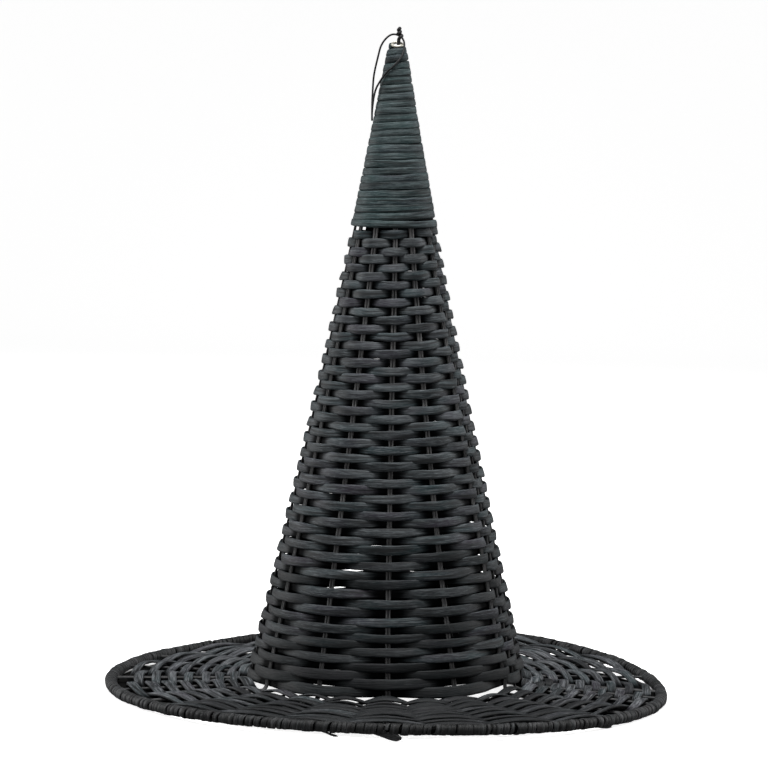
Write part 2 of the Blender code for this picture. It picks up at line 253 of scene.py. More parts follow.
@dataclass
class Strand:
    """A strand's run: a middle line with the directions and sizes of its section.

    Attributes:
        centre: Middle line, one point a row.
        across: Unit vectors along the section's width.
        outward: Unit vectors along the section's thickness.
        width: Full widths.
        thickness: Full thicknesses.
        tone: Lightness, about 0 where it is even and below -2 where it is deepest: random changes
        of the dye, lowered in places by painted shade.
        crest: How far the strand stands out, from 0 where it is hidden to 1 at the top of its
        swing; the colour is painted darker where it is low, as painted shade.
    """

    centre: Array
    across: Array | Point
    outward: Array | Point
    width: Array | float
    thickness: Array | float
    tone: Array | float = 0.0
    crest: Array | float = 1.0

    def __post_init__(self) -> None:
        """Gives each point its own values where one was given for all."""
        for name in ("across", "outward"):
            setattr(self, name, np.broadcast_to(getattr(self, name), self.centre.shape))
        for name in ("width", "thickness", "tone", "crest"):
            setattr(self, name, np.broadcast_to(getattr(self, name), len(self.centre)))

    def squared_up(self) -> "Strand":
        """Turns the section's directions square to the middle line."""
        tangent = unit(np.gradient(self.centre, axis=0))
        outward = self.outward - np.sum(self.outward * tangent, axis=1, keepdims=True) * tangent
        self.outward = unit(outward)
        across = np.cross(tangent, self.outward)
        self.across = across * np.sign(np.sum(across * self.across, axis=1, keepdims=True))
        return self


class Section(Enum):
    """Outlines of a strand's cross-section, on a unit width and thickness."""

    FLAT_OVAL = "flat_oval"
    ROUND = "round"

    def points(self, count: int) -> Array:
        """The outline's points, counter-clockwise from the +width side.

        The flat oval is a superellipse with a fuller outer face, and the round is a circle.

        Args:
            count: Number of points.

        Returns:
            (count, 2) places, from -0.5 to 0.5.
        """
        turn = 2.0 * np.pi * np.arange(count) / count
        cosine = np.cos(turn)
        sine = np.sin(turn)
        if self is Section.ROUND:
            return 0.5 * np.stack([cosine, sine], axis=1)
        x = np.sign(cosine) * np.abs(cosine) ** 0.6
        y = np.sign(sine) * np.abs(sine) ** 0.5
        y = np.where(sine < 0.0, 0.7 * y, y)
        return 0.5 * np.stack([x, y], axis=1)


@dataclass
class StrandMesh:
    """Vertices, faces, texture places, tones and painted-shade values of one or more swept strands."""

    vertices: Array
    quads: Array
    quad_uv: Array
    caps: list[Array]
    tone: Array
    crest: Array

    def seated(self, form: HatForm) -> "StrandMesh":
        """Moves the mesh to where the leaning crown stands."""
        self.vertices = form.seated(self.vertices)
        return self


def sweep(strand: Strand, section: Section, sides: int) -> StrandMesh:
    """Carries a section along a strand.

    Vertex (i, j) is centre_i + width_i x_j across_i + thickness_i y_j outward_i. U is the
    length travelled and V the way round the section, both in metres.

    Args:
        strand: The run.
        section: The outline that is carried.
        sides: Points of the outline.

    Returns:
        The closed tube, with a flat cap at each end.
    """
    outline = section.points(sides)
    count = len(strand.centre)
    x = strand.width[:, None, None] * outline[None, :, 0, None] * strand.across[:, None, :]
    y = strand.thickness[:, None, None] * outline[None, :, 1, None] * strand.outward[:, None, :]
    vertices = (strand.centre[:, None, :] + x + y).reshape(-1, 3)
    quads = grid_quads(count, sides, closed=False)
    ring = np.linalg.norm(np.diff(outline, axis=0, append=outline[:1]), axis=1)
    round_way = np.concatenate([[0.0], np.cumsum(ring)]) * float(strand.width.mean())
    place = np.stack(np.meshgrid(travelled(strand.centre), round_way, indexing="ij"), axis=-1)
    corners = [place[:-1, :-1], place[:-1, 1:], place[1:, 1:], place[1:, :-1]]
    quad_uv = np.stack(corners, axis=-2).reshape(-1, 4, 2)
    caps = [np.arange(sides)[::-1], (count - 1) * sides + np.arange(sides)]
    normal = np.cross(strand.across[0], strand.outward[0])
    forward = strand.centre[1] - strand.centre[0]
    if np.dot(normal, forward) < 0.0:
        quads = quads[:, ::-1]
        quad_uv = quad_uv[:, ::-1]
        caps = [cap[::-1] for cap in caps]
    # Painted shade: the section's inner face gets a lower crest than its outer face, so it is coloured
    # darker.
    rounded = 0.5 + 0.5 * np.clip(outline[:, 1] / 0.4, -1.0, 1.0)
    crest = strand.crest[:, None] * (0.35 + 0.65 * rounded)[None, :]
    tone = np.repeat(strand.tone, sides)
    return StrandMesh(vertices, quads, quad_uv, caps, tone, crest.ravel())


def joined(parts: list[StrandMesh]) -> StrandMesh:
    """Puts several meshes into one, with the numbers of their faces moved on."""
    starts = np.cumsum([0] + [len(part.vertices) for part in parts[:-1]])
    return StrandMesh(
        np.concatenate([part.vertices for part in parts]),
        np.concatenate([part.quads + start for part, start in zip(parts, starts)]),
        np.concatenate([part.quad_uv for part in parts]),
        [cap + start for part, start in zip(parts, starts) for cap in part.caps],
        np.concatenate([part.tone for part in parts]),
        np.concatenate([part.crest for part in parts]),
    )


def add_piece(
    name: str, shape: StrandMesh, material: Material, nodes: list[str]
) -> bpy.types.Object:
    """Makes a swept mesh an object of the hat.

    Args:
        name: The piece's name.
        shape: Its mesh data.
        material: Its finish.
        nodes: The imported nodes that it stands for.

    Returns:
        The new object, which rides on the hat's body.
    """
    mesh = bpy.data.meshes.new(name)
    cap_sizes = np.array([len(cap) for cap in shape.caps], int)
    loops = np.concatenate([shape.quads.ravel(), *shape.caps])
    corners = np.concatenate([np.full(len(shape.quads), 4), cap_sizes])
    starts = np.cumsum(corners) - corners
    mesh.vertices.add(len(shape.vertices))
    mesh.vertices.foreach_set("co", shape.vertices.astype(np.float32).ravel())
    mesh.loops.add(len(loops))
    mesh.loops.foreach_set("vertex_index", loops.astype(np.int32))
    mesh.polygons.add(len(starts))
    mesh.polygons.foreach_set("loop_start", starts.astype(np.int32))
    uv = np.zeros((len(loops), 2), np.float32)
    uv[: 4 * len(shape.quads)] = shape.quad_uv.reshape(-1, 2)
    mesh.uv_layers.new(name="strand").data.foreach_set("uv", uv.ravel())
    for label, values in (("tone", shape.tone), ("crest", shape.crest)):
        attribute = mesh.attributes.new(label, "FLOAT", "POINT")
        attribute.data.foreach_set("value", values.astype(np.float32))
    mesh.update(calc_edges=True)
    mesh.validate()
    mesh.shade_smooth()
    mesh.set_sharp_from_angle(angle=math.radians(60.0))
    mesh.materials.append(material)
    obj = bpy.data.objects.new(name, mesh)
    bpy.context.scene.collection.objects.link(obj)
    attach(obj, BODY)
    if nodes:
        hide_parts(*nodes)
    LOG.info("%s: %d faces", name, len(mesh.polygons))
    return obj


@dataclass(frozen=True)
class NodeWeb:
    """A node tree, with short ways to add to it."""

    tree: bpy.types.NodeTree

    def feed(self, socket: Socket, value: object) -> None:
        """Links an input to another node's socket, or sets its value."""
        if isinstance(value, Socket):
            self.tree.links.new(value, socket)
        else:
            socket.default_value = value

    def add(self, kind: str, inputs: dict[str | int, object] | None = None, **settings: object) -> Node:
        """Adds a shader node.

        Args:
            kind: Its type, without the leading ShaderNode.
            inputs: Values or sockets for its inputs, by name or number.
            settings: Its own settings, which are made first.

        Returns:
            The node.
        """
        node = self.tree.nodes.new(f"ShaderNode{kind}")
        for setting, value in settings.items():
            setattr(node, setting, value)
        for key, value in (inputs or {}).items():
            self.feed(node.inputs[key], value)
        return node

    def spread(
        self, source: Socket, low: float, high: float, to_low: float, to_high: float
    ) -> Socket:
        """Maps a value's range from low and high to two others, and holds it there."""
        inputs = {"Value": source, "From Min": low, "From Max": high, "To Min": to_low, "To Max": to_high}
        return self.add("MapRange", inputs).outputs["Result"]

    def mixed(self, factor: Socket, one: Socket | Colour, two: Socket | Colour) -> Socket:
        """Blends two colours, each a socket or three parts."""
        pair = [side if isinstance(side, Socket) else (*side, 1.0) for side in (one, two)]
        inputs = {"Factor": factor, "A": pair[0], "B": pair[1]}
        return self.add("Mix", inputs, data_type="RGBA").outputs["Result"]

    def bumped(self, height: Socket, depth: float) -> Socket:
        """Normals of a relief of the given depth."""
        return self.add("Bump", {"Height": height, "Distance": depth, "Strength": 1.0}).outputs["Normal"]

    def surface(self, values: dict[str, object]) -> None:
        """Feeds inputs of the Principled shader."""
        for name, value in values.items():
            self.feed(self.tree.nodes["Principled BSDF"].inputs[name], value)


def new_material(name: str) -> tuple[Material, NodeWeb]:
    """A new node material and its tree."""
    material = bpy.data.materials.new(name)
    material.use_nodes = True
    return material, NodeWeb(material.node_tree)


def grey(level: float) -> Colour:
    """A colour with three equal parts."""
    return (level, level, level)


def scaled(colour: Colour, share: float) -> Colour:
    """A colour with each part taken times a share, and 1 at most."""
    return tuple(min(1.0, share * part) for part in colour)


@dataclass(frozen=True)
class CaneFinish:
    """Dyed cane: a dark ground with a tint, streaked by its fibres, with painted shade and a painted sheen.

    Attributes:
        name: The material's name.
        ground: Colour of most of the strand.
        teal: Colour that the dye leans to in some patches.
        plum: Colour that it leans to in others.
        faded_and_sheen: Colour of worn and dusty fibres, and, half again as bright, of the painted
        sheen on the finest hairs.
        roughness: Roughness of the surface.
        fibre_pitch: Distance between two fibres, in metres.
        relief: Depth of the fibres, in metres.
    """

    name: str
    ground: Colour
    teal: Colour
    plum: Colour
    faded_and_sheen: Colour
    roughness: float = 0.6
    fibre_pitch: float = 0.75 * MM
    relief: float = 0.45 * MM

    def material(self) -> Material:
        """Makes the node material.

        Each layer of colour lies over the ones before it. It has the value that drives it, two
        levels of that value, its share at each of them, and its colour.

        Returns:
            A Principled material that reads the strand's UV map, its tone and its crest; painted
            shade and a painted sheen lie in its colour.
        """
        material, web = new_material(self.name)
        uv = web.add("UVMap", uv_map="strand").outputs["UV"]
        tone = web.add("Attribute", attribute_name="tone").outputs["Fac"]
        crest = web.add("Attribute", attribute_name="crest").outputs["Fac"]

        def noise(along: float, across: float, detail: float, rough: float) -> Socket:
            """A noise over the strand, stretched by its scales along and across."""
            place = web.add("Mapping", {"Vector": uv, "Scale": (along, across, 1.0)})
            inputs = {"Vector": place.outputs["Vector"], "Scale": 1.0, "Detail": detail, "Roughness": rough}
            return web.add("TexNoise", inputs).outputs["Fac"]

        fibre_scale = 1.0 / self.fibre_pitch
        fibres = noise(70.0, fibre_scale, 4.0, 0.65)
        hairs = noise(150.0, 2.3 * fibre_scale, 2.0, 0.6)
        streaks = noise(26.0, 0.4 * fibre_scale, 2.0, 0.5)
        patches = noise(21.0, 45.0, 2.0, 0.5)
        casts = noise(13.0, 33.0, 2.0, 0.5)
        layers = (
            (patches, 0.42, 0.60, 0.0, 1.0, self.teal),
            (casts, 0.50, 0.66, 0.0, 0.9, self.plum),
            # Lighter where the tone is high; painted shade lowers the tone in places.
            (tone, -1.0, 1.0, 0.0, 0.35, self.faded_and_sheen),
            (fibres, 0.49, 0.63, 0.0, 0.95, self.faded_and_sheen),
            # Painted sheen: fine hairs coloured half again as bright as the worn fibres, as glints along
            # the strand.
            (hairs, 0.55, 0.67, 0.0, 0.8, scaled(self.faded_and_sheen, 1.5)),
            (streaks, 0.36, 0.54, 0.9, 0.0, scaled(self.ground, 0.3)),
            # Painted shade, partly random dye: the colour darkens where the tone is lowest, mostly at the
            # crown's foot, the brim's front and the hoop.
            (tone, -2.2, -0.9, 0.85, 0.0, scaled(self.ground, 0.25)),
            # Painted shade: where crest is low, in hidden stretches and on inner faces, the colour goes
            # almost black.
            (crest, 0.05, 0.85, 0.97, 0.0, scaled(self.ground, 0.05)),
        )
        colour = self.ground
        for driver, low, high, share_low, share_high, layer_colour in layers:
            share = web.spread(driver, low, high, share_low, share_high)
            colour = web.mixed(share, colour, layer_colour)
        web.surface(
            {
                "Base Color": colour,
                # Painted shade: the reflection is turned down where crest is low.
                "Specular IOR Level": web.spread(crest, 0.2, 0.9, 0.02, 0.27),
                "Roughness": web.spread(fibres, 0.3, 0.7, self.roughness - 0.1, self.roughness + 0.12),
                "Normal": web.bumped(fibres, self.relief),
            }
        )
        return material


def plain_material(name: str, colour: Colour, roughness: float, metallic: float = 0.0) -> Material:
    """A surface of one colour with a fine mottle in its colour, roughness and bump.

    Args:
        name: The material's name.
        colour: Its colour.
        roughness: Its middle roughness.
        metallic: 1 for a metal.

    Returns:
        The node material, on Object coordinates.
    """
    material, web = new_material(name)
    place = web.add("TexCoord").outputs["Object"]
    mottle = web.add("TexNoise", {"Vector": place, "Scale": 900.0, "Detail": 3.0}).outputs["Fac"]
    web.surface(
        {
            "Base Color": web.mixed(mottle, scaled(colour, 0.75), scaled(colour, 1.25)),
            "Metallic": metallic,
            "Roughness": web.spread(mottle, 0.0, 1.0, roughness - 0.12, roughness + 0.12),
            "Normal": web.bumped(mottle, 0.03 * MM),
        }
    )
    return material


CROWN_FINISH = CaneFinish(
    "dyed_crown_cane",
    ground=(0.015, 0.019, 0.022),
    teal=(0.008, 0.024, 0.028),
    plum=(0.025, 0.018, 0.031),
    faded_and_sheen=(0.098, 0.109, 0.116),
)
BRIM_FINISH = CaneFinish(
    "dyed_brim_cane",
    ground=(0.014, 0.016, 0.019),
    teal=(0.008, 0.020, 0.023),
    plum=(0.020, 0.015, 0.024),
    faded_and_sheen=(0.165, 0.174, 0.184),
)
TIP_FINISH = CaneFinish(
    "dyed_tip_cane",
    ground=(0.013, 0.025, 0.027),
    teal=(0.008, 0.029, 0.030),
    plum=(0.016, 0.019, 0.030),
    faded_and_sheen=(0.082, 0.108, 0.112),
)
STAKE_FINISH = CaneFinish(
    "dyed_stake_cane",
    ground=(0.058, 0.058, 0.060),
    teal=(0.048, 0.052, 0.056),
    plum=(0.048, 0.044, 0.048),
    faded_and_sheen=(0.150, 0.148, 0.148),
)
RIM_FINISH = CaneFinish(
    "dyed_rim_cane",
    ground=(0.012, 0.013, 0.014),
    teal=(0.009, 0.013, 0.014),
    plum=(0.014, 0.011, 0.012),
    faded_and_sheen=(0.088, 0.089, 0.093),
)


@dataclass(frozen=True)
class Stakes:
    """The canes that the hat is woven on.

    Attributes:
        form: The hat's surfaces.
        pair_count: Pairs of canes down the crown.
        extra_crown_deg: Direction of the single extra stake on the crown.
        extra_brim_deg: Its direction on the brim.
        shifted_spoke_deg: Direction of the spoke that makes room for it.
        radius: Radius of a cane.
        half_spacing: From a pair's middle to each cane's middle.
        inside_top_z: Where the canes end inside the wound tip.
        inside_tip: How far inside the tip's outline they stand.
        inside_hoop: How far inside the brim's edge they end.
        size_wave: Share and period of the small changes of a cane's size.
        tone_wave: Height and period of those of its tone.
        leans_deg: Small turns of the stakes next to the front, by their number, at the crown's
            foot, half way up and at its top.
        bend_reach: How far out on the brim a cane has turned into its spoke's direction.
        room_radius: Radius inside which a pair's canes close up.
        sway_period: Distance between two of their small bends to the side.
        crest: How far they stand out, which sets how much shade is painted on them.
        sides: Points of a cane's section.
    """

    form: HatForm
    pair_count: int = 12
    extra_crown_deg: float = 70.0
    extra_brim_deg: float = 75.0
    shifted_spoke_deg: float = 82.5
    radius: float = 0.9 * MM
    half_spacing: float = 0.98 * MM
    inside_top_z: float = 456.0 * MM
    inside_tip: float = 3.4 * MM
    inside_hoop: float = 5.0 * MM
    size_wave: tuple[float, float] = (0.05, 31.0 * MM)
    tone_wave: tuple[float, float] = (0.7, 26.0 * MM)
    leans_deg: tuple[tuple[int, float, float, float], ...] = (
        (0, 0.6, 0.3, 2.2),
        (1, -0.3, -3.1, -4.2),
        (12, 0.95, 1.1, 3.0),
    )
    bend_reach: float = 8.0 * MM
    room_radius: float = 9.0 * MM
    sway_period: float = 23.0 * MM
    crest: float = 0.8
    sides: int = 10

    def crown_angles(self) -> Array:
        """Directions of the crown's stakes in weaving order from the front, in radians."""
        pairs = np.arange(self.pair_count) * 360.0 / self.pair_count
        return np.radians(np.sort(np.append(pairs, self.extra_crown_deg)))

    def brim_angles(self) -> Array:
        """Directions of the brim's spokes in weaving order from the front, in radians."""
        spokes = np.arange(2 * self.pair_count) * 180.0 / self.pair_count
        return np.radians(np.sort(np.append(spokes, self.shifted_spoke_deg)))

    def lean(self, number: Array, z: Array) -> Array:
        """Small turn of a stake from its even place, a parabola through three values.

        The values stand at the crown's foot, half way up and at its top. They are seeded, except
        for the stakes next to the front.

        Args:
            number: Stake numbers in weaving order.
            z: Heights.

        Returns:
            Turns in radians.
        """
        share = (z - self.form.crown_foot_z) / (self.form.crown_top_z - self.form.crown_foot_z)
        share = np.clip(share, 0.0, 1.0)
        low = np.random.default_rng(5).uniform(-0.8, 0.8, self.pair_count + 1)
        high = np.random.default_rng(6).uniform(-2.6, 2.6, self.pair_count + 1)
        middle = 0.7 * low + 0.3 * high
        for stake, *turns in self.leans_deg:
            low[stake], middle[stake], high[stake] = turns
        slope = 4.0 * middle - 3.0 * low - high
        bend = 2.0 * (low + high - 2.0 * middle)
        return np.radians(low[number] + slope[number] * share + bend[number] * share * share)

    def cane(
        self, centre: Array, side: Array, outward: Array | Point, size: float, places: Array, seed: int
    ) -> StrandMesh:
        """One round cane along a middle line.

        Args:
            centre: The middle line.
            side: Directions across it.
            outward: Directions away from the hat.
            size: The cane's thickness.
            places: Lengths that its small changes go by.
            seed: Seed of its changes of size; the next one is that of its tone.

        Returns:
            The cane's mesh.
        """
        share, period = self.size_wave
        size = size * (1.0 + share * wander(places, period, seed))
        height, period = self.tone_wave
        tone = height * wander(places, period, seed + 1)
        strand = Strand(centre, side, outward, size, size, tone, self.crest)
        return sweep(strand.squared_up(), Section.ROUND, self.sides)

    def stake(self, number: int, brim_angle: float, offset: float, seed: int) -> StrandMesh:
        """One cane's run from inside the tip, down the crown, round the foot and out.

        The profile is a line of (radius, height) stations with the foot's bend as a quarter
        of an ellipse, and the direction blends from the crown's to the brim's at the foot.

        Args:
            number: The stake's number in weaving order.
            brim_angle: Its direction on the brim, in radians.
            offset: How far it stands beside the stake's own middle.
            seed: Seed of its small waves.

        Returns:
            The cane's mesh.
        """
        form = self.form
        tip_z = np.linspace(self.inside_top_z, form.hem_z + 6.0 * MM, 12, endpoint=False)
        tip_r = form.tip_radius(tip_z) - self.inside_tip
        crown_z = np.linspace(form.hem_z - 1.0 * MM, form.crown_foot_z + 2.0 * MM, 90)
        crown_r = form.stake_radius(crown_z)
        foot_r = crown_r[-1]
        foot_z = crown_z[-1]
        turn = np.linspace(0.0, 0.5 * np.pi, 14)[1:-1]
        bend_r = foot_r + (form.spoke_start - foot_r) * (1.0 - np.cos(turn))
        bend_z = foot_z + (form.spoke_start_z - foot_z) * np.sin(turn)
        out_r = np.linspace(form.spoke_start, form.brim_radius - self.inside_hoop, 50)
        out_z = form.brim_z(out_r, np.full_like(out_r, brim_angle))
        radius = np.concatenate([tip_r, crown_r, bend_r, out_r])
        z = np.concatenate([tip_z, crown_z, bend_z, out_z])
        upright = len(radius) - len(out_r)
        crown_angle = self.crown_angles()[number] + self.lean(np.full(z.shape, number), z)
        blend = smoothstep((radius - foot_r) / (form.spoke_start + self.bend_reach - foot_r))
        blend[: len(tip_r) + len(crown_r)] = 0.0
        angle = crown_angle + (brim_angle - crown_angle) * blend
        far = travelled(np.stack([radius, z], axis=1))
        room = np.clip(radius / self.room_radius, 0.45, 1.0)
        sway = 0.10 * MM * wander(far, self.sway_period, seed)
        side = sideways(angle)
        centre = polar(radius, angle, z) + side * (offset * room + sway)[:, None]
        centre[:upright] = form.seated(centre[:upright])
        outward = unit(polar(1.0, angle, 0.6))
        return self.cane(centre, side, outward, 2.0 * self.radius, far, seed + 1)

    def spoke(self, angle: float, seed: int) -> StrandMesh:
        """One of the brim's single spokes, straight out under the first row to the hoop."""
        radius = np.linspace(self.form.spoke_start, self.form.brim_radius - self.inside_hoop, 60)
        z = self.form.brim_z(radius, np.full_like(radius, angle))
        sway = 0.15 * MM * wander(radius, self.sway_period, seed)
        centre = polar(radius, angle, z) + sideways(angle) * sway[:, None]
        return self.cane(centre, sideways(angle), UP, 2.1 * self.radius, radius, seed + 1)

    def build(self, material: Material) -> None:
        """Makes the pairs and the extra stake in weaving order, then the brim's single spokes."""
        angles = self.crown_angles()
        extra = int(np.argmin(np.abs(angles - math.radians(self.extra_crown_deg))))
        canes = [
            (number, angles[number], sign, 10 * pair + sign, f"{pair:02d}_{side}")
            for pair, number in enumerate(np.delete(np.arange(len(angles)), extra), start=1)
            for side, sign in (("left", -1), ("right", 1))
        ]
        canes.insert(2 * extra, (extra, math.radians(self.extra_brim_deg), 0, 900, "extra"))
        for number, brim_angle, sign, seed, name in canes:
            shape = self.stake(number, brim_angle, sign * self.half_spacing, seed)
            add_piece(f"cane_{name}", shape, material, [f"stake_{name}"])
        for index in range(self.pair_count):
            degrees = 360.0 / self.pair_count * (index + 0.5)
            if degrees == self.extra_brim_deg:
                degrees = self.shifted_spoke_deg
            shape = self.spoke(math.radians(degrees), 300 + index)
            number = f"{index + 1:02d}"
            add_piece(f"spoke_{number}", shape, material, [f"brim_spoke_{number}"])


def angle_between(order: Array, angles: Array, lean: Callable[[Array], Array | float]) -> Array:
    """Direction at a place in the weaving order, straight between two stakes.

    Args:
        order: Places counted in stakes; a whole number is a stake.
        angles: Directions of the stakes, in radians.
        lean: Gives the small turns of stakes by their numbers.

    Returns:
        Angles in radians, which go on growing turn after turn.
    """
    count = len(angles)
    low = np.floor(order).astype(int)
    first, second = (
        angles[stake % count] + lean(stake % count) + 2.0 * np.pi * (stake // count)
        for stake in (low, low + 1)
    )
    return first + (second - first) * (order - low)


@dataclass(frozen=True)
class Weave:
    """Flat-oval cane woven over and under the stakes, one row a turn.

    Attributes:
        form: The hat's surfaces.
        stakes: The stakes that it is woven on.
        part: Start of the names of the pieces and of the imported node.
        first_place: Place in the weaving order where the first row begins.
        lengths: Number of canes that it took, each tucked in behind a stake.
        width: Width of the cane over a stake.
        thickness: Thickness of the cane.
        narrowing: How much narrower the cane is as it dives.
        first_rows: How much wider it is in its first rows, up to which place, and over how many
            stakes this fades.
        tuck_depth: How far its ends go in.
        radius_waves: Small waves of its radius.
        z_waves: Small waves of its height.
        tilt_waves: Small turns of its section, in degrees.
        width_waves: Small changes of its width.
        thickness_waves: Small changes of its thickness.
        tone_waves: Small changes of its tone.
        stations: Points of the path between two stakes.
        sides: Points of the section.
    """

    form: HatForm
    stakes: Stakes
    part: str
    first_place: float
    lengths: int
    width: float
    thickness: float
    narrowing: float
    first_rows: tuple[float, float, float]
    tuck_depth: float
    radius_waves: Waves
    z_waves: Waves
    tilt_waves: Waves
    width_waves: Waves
    thickness_waves: Waves
    tone_waves: Waves
    stations: int = 14
    sides: int = 12

    def run(self, order: Array) -> Strand:
        """The strand through the given places in the weaving order."""
        raise NotImplementedError

    def last_place(self) -> float:
        """Place in the weaving order where the last row ends."""
        raise NotImplementedError

    def settled(self, shape: StrandMesh) -> StrandMesh:
        """Puts a cane where it lies on the finished hat."""
        return shape

    def tuck(self, order: Array) -> Array:
        """How far inwards a cane lies: all the way at its ends, not at all 0.9 of a stake inside."""
        inside = np.minimum(order - order[0], order[-1] - order)
        return self.tuck_depth * (1.0 - smoothstep(inside / 0.9))

    def sizes(self, order: Array, swing: Array) -> tuple[Array, Array]:
        """The cane's widths and thicknesses.

        Args:
            order: Places in the weaving order.
            swing: 1 where the cane is outside a stake and -1 where it is inside.

        Returns:
            The widths and the thicknesses.
        """
        wider, until, fading = self.first_rows
        width = self.width * (1.0 - self.narrowing * (1.0 - swing) ** 1.5)
        width = width * (1.0 + ripple(order, self.width_waves))
        width = width * (1.0 + wider * (1.0 - smoothstep((order - until) / fading)))
        return width, self.thickness * (1.0 + ripple(order, self.thickness_waves))

    def build(self, material: Material) -> None:
        """Makes the canes one after another."""
        cuts = np.round(np.linspace(self.first_place, self.last_place(), self.lengths + 1))
        for index, (start, end) in enumerate(zip(cuts[:-1] - 0.7, cuts[1:] + 0.7)):
            order = np.linspace(start, end, int((end - start) * self.stations) + 1)
            shape = self.settled(sweep(self.run(order), Section.FLAT_OVAL, self.sides))
            nodes = [] if index else [f"{self.part}_weave"]
            add_piece(f"{self.part}_cane_{index + 1}", shape, material, nodes)


@dataclass(frozen=True)
class CrownWeave(Weave):
    """The cane woven up the crown.

    Attributes:
        first_row_z: Height of the lowest row over the front stake.
        pitch: Height of a row.
        rows: Number of rows.
        dips: Middle, depth and reach of each dip, in millimetres.
        side_rise: How much higher the rows lie at the right than in front.
        close_spacing: Distance between two stakes under which the cane swings less.
        bulge: How much wider the cane is at one height, that height, and its reach.
        shaded_z: Height up to which the colour grows lighter; below it, painted shade darkens the
        crown towards its foot beside the brim.
    """

    part: str = "crown"
    first_place: float = -5.0
    lengths: int = 4
    width: float = 6.5 * MM
    thickness: float = 2.1 * MM
    narrowing: float = 0.065
    first_rows: tuple[float, float, float] = (0.22, 20.0, 12.0)
    tuck_depth: float = 1.6 * MM
    radius_waves: Waves = ((0.25 * MM, 1.0, 23),)
    z_waves: Waves = ((0.45 * MM, 1.0, 21), (0.35 * MM, 4.0, 22), (0.12 * MM, 0.23, 29))
    tilt_waves: Waves = ((13.0, 0.9, 24),)
    width_waves: Waves = ((0.09, 0.7, 25), (0.05, 0.19, 30))
    thickness_waves: Waves = ((0.1, 2.0, 26),)
    tone_waves: Waves = ((0.6, 1.3, 27), (0.4, 9.0, 28))
    first_row_z: float = 17.6 * MM
    pitch: float = 5.664 * MM
    rows: int = 56
    dips: tuple[tuple[float, float, float], ...] = (
        (66.0, 2.9, 18.0), (252.0, 2.7, 44.0), (205.0, 1.7, 45.0), (75.0, 1.6, 35.0), (18.0, 0.6, 12.0),
    )
    side_rise: float = 0.6 * MM
    close_spacing: float = 11.0 * MM
    bulge: tuple[float, float, float] = (0.05, 100.0 * MM, 40.0 * MM)
    shaded_z: float = 230.0 * MM

    def last_place(self) -> float:
        """Place where the last row ends, at the wound tip's hem."""
        return len(self.stakes.crown_angles()) * (self.rows - 0.4)

    def settled(self, shape: StrandMesh) -> StrandMesh:
        """Leans a cane with the crown."""
        return shape.seated(self.form)

    def run(self, order: Array) -> Strand:
        """The strand through places in the weaving order.

        The height rises a pitch each turn, less the dips where the rows were beaten down. A
        dip takes off depth times exp(-((z - middle) / reach)^2).
        The radius swings as -cos(pi q) about the stakes, so that the cane is outside every
        odd q, and the width narrows as it dives.

        Args:
            order: Places counted in stakes.

        Returns:
            The strand.
        """
        angles = self.stakes.crown_angles()
        z = self.first_row_z + self.pitch * order / len(angles)
        for middle, depth, reach in self.dips:
            z = z - depth * MM * np.exp(-(((z / MM - middle) / reach) ** 2))
        z = z + ripple(order, self.z_waves)
        angle = angle_between(order, angles, lambda number: self.stakes.lean(number, z))
        z = z + self.side_rise * np.sin(angle)
        swing = -np.cos(np.pi * order)
        spacing = self.form.stake_radius(z) * np.gradient(angle, order)
        reach = self.stakes.radius + 0.5 * self.thickness + 0.05 * MM
        reach = reach * np.clip(spacing / self.close_spacing, 0.55, 1.0)
        radius = self.form.stake_radius(z) + reach * swing - self.tuck(order)
        radius = radius + ripple(order, self.radius_waves)
        tilt = math.atan(self.form.crown_taper) + np.radians(ripple(order, self.tilt_waves))
        width, thickness = self.sizes(order, swing)
        wider, height, reach = self.bulge
        width = width * (1.0 + wider * np.exp(-(((z - height) / reach) ** 2)))
        # Painted shade: darker towards the crown's foot beside the brim, and darker still on the first
        # rows.
        tone = ripple(order, self.tone_waves) - 2.0 * (1.0 - smoothstep(z / self.shaded_z))
        tone = tone - 0.9 * (1.0 - smoothstep((order - 13.0) / 20.0))
        outward, across = tilted(angle, tilt)
        # Painted shade: crest falls to 0 where the cane dives behind a stake.
        crest = smoothstep((swing + 0.95) / 0.8)
        strand = Strand(polar(radius, angle, z), across, outward, width, thickness, tone, crest)
        return strand.squared_up()


